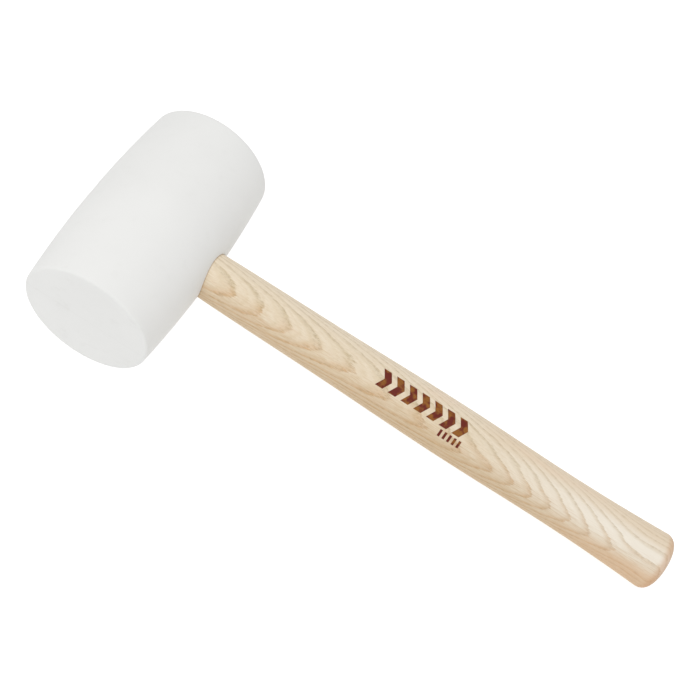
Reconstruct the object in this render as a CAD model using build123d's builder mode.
"""Rubber mallet lying on a flat surface: a white rubber barrel head wedged onto a turned ash handle.

Millimetres, +Z up. X runs from the head to the butt of the handle, Y along the head from face to face.
The head lies on its belly and the handle slopes down to its butt, so both touch the surface Z = 0.
The origin is on that surface, under the middle of the bounding box.
"""

import os
from math import asin, atan2, cos, hypot, sin

from build123d import *

# ---------------------------------------------------------------- driving dimensions
# Head: one solid rubber moulding, a barrel with two flat striking faces
belly_diameter = 75.0
face_diameter = 69.0  # barrel diameter at the faces, before their edges are rounded
head_length = 122.0
face_edge_radius = 1.5
mouth_radius = 0.5  # rounding of the eye's two mouths

# Handle: one length of ash, turned round: slim neck, fuller grip, slight waist, flared butt.
# Its places are distances down its axis from the head's axis.
handle_reach = 314.0  # to the end of the butt
neck_diameter = 25.8  # level with the belly's crown
neck_slope = 0.02  # growth of the radius per millimetre along the conical neck
neck_end = 42.0  # where the cone runs into the grip's curve
taper_place, taper_diameter = 110.0, 27.5
grip_place, grip_diameter = 188.0, 29.8
waist_place, waist_diameter = 252.0, 28.8
butt_diameter = 32.0
butt_edge_radius = 5.2
flare_slope = 0.05  # growth of the radius per millimetre where the flare meets the butt's rounded edge

# Tenon: the tapered end of the handle that fills the eye, spread across its kerf by the wedges
tenon_start = 34.0  # just inside the rubber
tenon_width = 20.2  # along the head, at the blank's far end
tenon_height = 21.4  # across the kerf, at the same place
tenon_end = 36.0  # from the head's axis, a little under the belly's crown
tenon_chamfer = 1.0
kerf_depth = 37.0
kerf_root_width = 1.2

# Hardwood wedge, driven into the kerf along the head
wood_wedge_width = 18.0
wood_wedge_length = 32.0
wood_wedge_top = 3.4  # thickness at its struck end, which is also the kerf's mouth
wedge_proud = 0.3  # both wedges stand this far out of the tenon's end

# Barbed steel wedge, driven in last, across the wooden one
steel_wedge_width = 12.0
steel_wedge_length = 22.0
steel_wedge_top = 2.4
steel_wedge_tip = 0.5
steel_wedge_barbs = 4
barb_step = 0.25  # how far each barb stands out from the flank above it

# ---------------------------------------------------------------- derived sizes
belly_radius = belly_diameter / 2
face_radius = face_diameter / 2
half_head = head_length / 2
butt_radius = butt_diameter / 2

# The butt touches the surface on its rounded edge, whose arc is centred here along and off the handle's axis
round_reach = handle_reach - butt_edge_radius
round_offset = butt_radius - butt_edge_radius
lie_angle = asin((belly_radius - butt_edge_radius) / hypot(round_reach, round_offset)) - atan2(
    round_offset, round_reach
)
butt_x = round_reach * cos(lie_angle) + round_offset * sin(lie_angle) + butt_edge_radius
overall_length = belly_radius + butt_x
head_x = belly_radius - overall_length / 2

# ---------------------------------------------------------------- axes and planes
head_centre = Vector(head_x, 0, belly_radius)
down_handle = Vector(cos(lie_angle), 0, -sin(lie_angle))
head_axis = Axis(head_centre, (0, 1, 0))
handle_axis = Axis(head_centre, down_handle)

# Sections through the axes. Local X runs along the head, or down the handle in the other two.
head_section = Plane(head_centre, x_dir=(0, 1, 0), z_dir=(1, 0, 0))
handle_section = Plane(head_centre, x_dir=down_handle, z_dir=(0, -1, 0))
mallet_section = Plane(head_centre, x_dir=down_handle, z_dir=handle_section.y_dir)


def across_handle(distance):
    """Plane square to the handle, that far down it from the head's axis; its local X runs along the head."""
    return Plane(head_centre + down_handle * distance, x_dir=(0, 1, 0), z_dir=down_handle)


# ---------------------------------------------------------------- handle blank
# The turned handle with its tenon left long. It also gives the eye its shape, because the rubber grips it all over.
blank_end = belly_radius + 4.0
neck_start_radius = neck_diameter / 2 - neck_slope * (belly_radius - tenon_start)
neck_end_radius = neck_diameter / 2 + neck_slope * (neck_end - belly_radius)

with BuildPart() as handle_blank:
    with BuildSketch(handle_section):
        with BuildLine():
            Line((tenon_start, neck_start_radius), (neck_end, neck_end_radius))
            Spline(
                (neck_end, neck_end_radius),
                (taper_place, taper_diameter / 2),
                (grip_place, grip_diameter / 2),
                (waist_place, waist_diameter / 2),
                (round_reach, butt_radius),
                tangents=[(1, neck_slope), (1, flare_slope)],
            )
            RadiusArc((round_reach, butt_radius), (handle_reach, round_offset), butt_edge_radius)
            Polyline(
                (handle_reach, round_offset),
                (handle_reach, 0),
                (tenon_start, 0),
                (tenon_start, neck_start_radius),
            )
        make_face()
    revolve(axis=handle_axis)
    with BuildSketch(across_handle(tenon_start)):
        Circle(neck_start_radius)
    with BuildSketch(across_handle(-blank_end)):
        Ellipse(tenon_width / 2, tenon_height / 2)
    loft()

# ---------------------------------------------------------------- rubber head
with BuildPart() as rubber_head:
    with BuildSketch(head_section):
        with BuildLine():
            ThreePointArc((-half_head, face_radius), (0, belly_radius), (half_head, face_radius))
            Polyline(
                (half_head, face_radius),
                (half_head, 0),
                (-half_head, 0),
                (-half_head, face_radius),
            )
        make_face()
    revolve(axis=head_axis)
    striking_faces = rubber_head.faces().filter_by(GeomType.PLANE)
    fillet(striking_faces.edges(), radius=face_edge_radius)
    add(handle_blank.part, mode=Mode.SUBTRACT)
    eye_mouths = rubber_head.edges(Select.LAST).filter_by(
        lambda edge: abs((edge.center() - head_centre).dot(down_handle)) > tenon_start
    )
    fillet(eye_mouths, radius=mouth_radius)
rubber_head.part.label = "rubber_head"

# ---------------------------------------------------------------- steel wedge
# A flat taper whose two flanks step out into barbs, drawn in the plane that holds both axes of the mallet
steel_wedge_start = -(tenon_end + wedge_proud)
barb_pitch = steel_wedge_length / steel_wedge_barbs
flank_drop = (steel_wedge_top - steel_wedge_tip) / 2 / steel_wedge_barbs

barb_points = []
for barb in range(steel_wedge_barbs):
    shoulder = steel_wedge_top / 2 - barb * flank_drop
    barb_points.append((steel_wedge_start + barb * barb_pitch, shoulder))
    barb_points.append((steel_wedge_start + (barb + 1) * barb_pitch, shoulder - flank_drop - barb_step))
barb_points[-1] = (steel_wedge_start + steel_wedge_length, steel_wedge_tip / 2)

with BuildPart() as steel_wedge:
    with BuildSketch(mallet_section):
        with BuildLine():
            Polyline(*barb_points, *[(x, -y) for x, y in reversed(barb_points)], close=True)
        make_face()
    extrude(amount=steel_wedge_width / 2, both=True)
steel_wedge.part.label = "steel_wedge"

# ---------------------------------------------------------------- wooden wedge
kerf_root = kerf_depth - tenon_end
kerf_slope = (wood_wedge_top - kerf_root_width) / 2 / kerf_depth
wood_wedge_tip = wood_wedge_length - tenon_end


def kerf_half_width(distance):
    """Half the width of the tapering kerf, that far down the handle from the head's axis."""
    return kerf_root_width / 2 + (kerf_root - distance) * kerf_slope


with BuildPart() as wood_wedge:
    with BuildSketch(handle_section):
        with BuildLine():
            top = -(tenon_end + wedge_proud)
            Polyline(
                (top, kerf_half_width(top)),
                (wood_wedge_tip, kerf_half_width(wood_wedge_tip)),
                (wood_wedge_tip, -kerf_half_width(wood_wedge_tip)),
                (top, -kerf_half_width(top)),
                close=True,
            )
        make_face()
    extrude(amount=wood_wedge_width / 2, both=True)
    add(steel_wedge.part, mode=Mode.SUBTRACT)
wood_wedge.part.label = "wood_wedge"

# ---------------------------------------------------------------- ash handle
# The blank sawn off just under the belly's crown, its end chamfered, then kerfed and split a little by the steel wedge
with BuildPart() as ash_handle:
    add(handle_blank.part)
    split(bisect_by=across_handle(-tenon_end), keep=Keep.TOP)
    tenon_face = ash_handle.faces().sort_by(handle_axis)[0]
    chamfer(tenon_face.edges(), length=tenon_chamfer)
    with BuildSketch(handle_section):
        with BuildLine():
            Polyline(
                (-blank_end, kerf_half_width(-blank_end)),
                (kerf_root, kerf_half_width(kerf_root)),
                (kerf_root, -kerf_half_width(kerf_root)),
                (-blank_end, -kerf_half_width(-blank_end)),
                close=True,
            )
        make_face()
    extrude(amount=neck_diameter, both=True, mode=Mode.SUBTRACT)
    add(steel_wedge.part, mode=Mode.SUBTRACT)
ash_handle.part.label = "ash_handle"

# ---------------------------------------------------------------- files
os.makedirs("parts", exist_ok=True)
for piece in (rubber_head, ash_handle, wood_wedge, steel_wedge):
    export_step(piece.part, f"parts/{piece.part.label}.step")
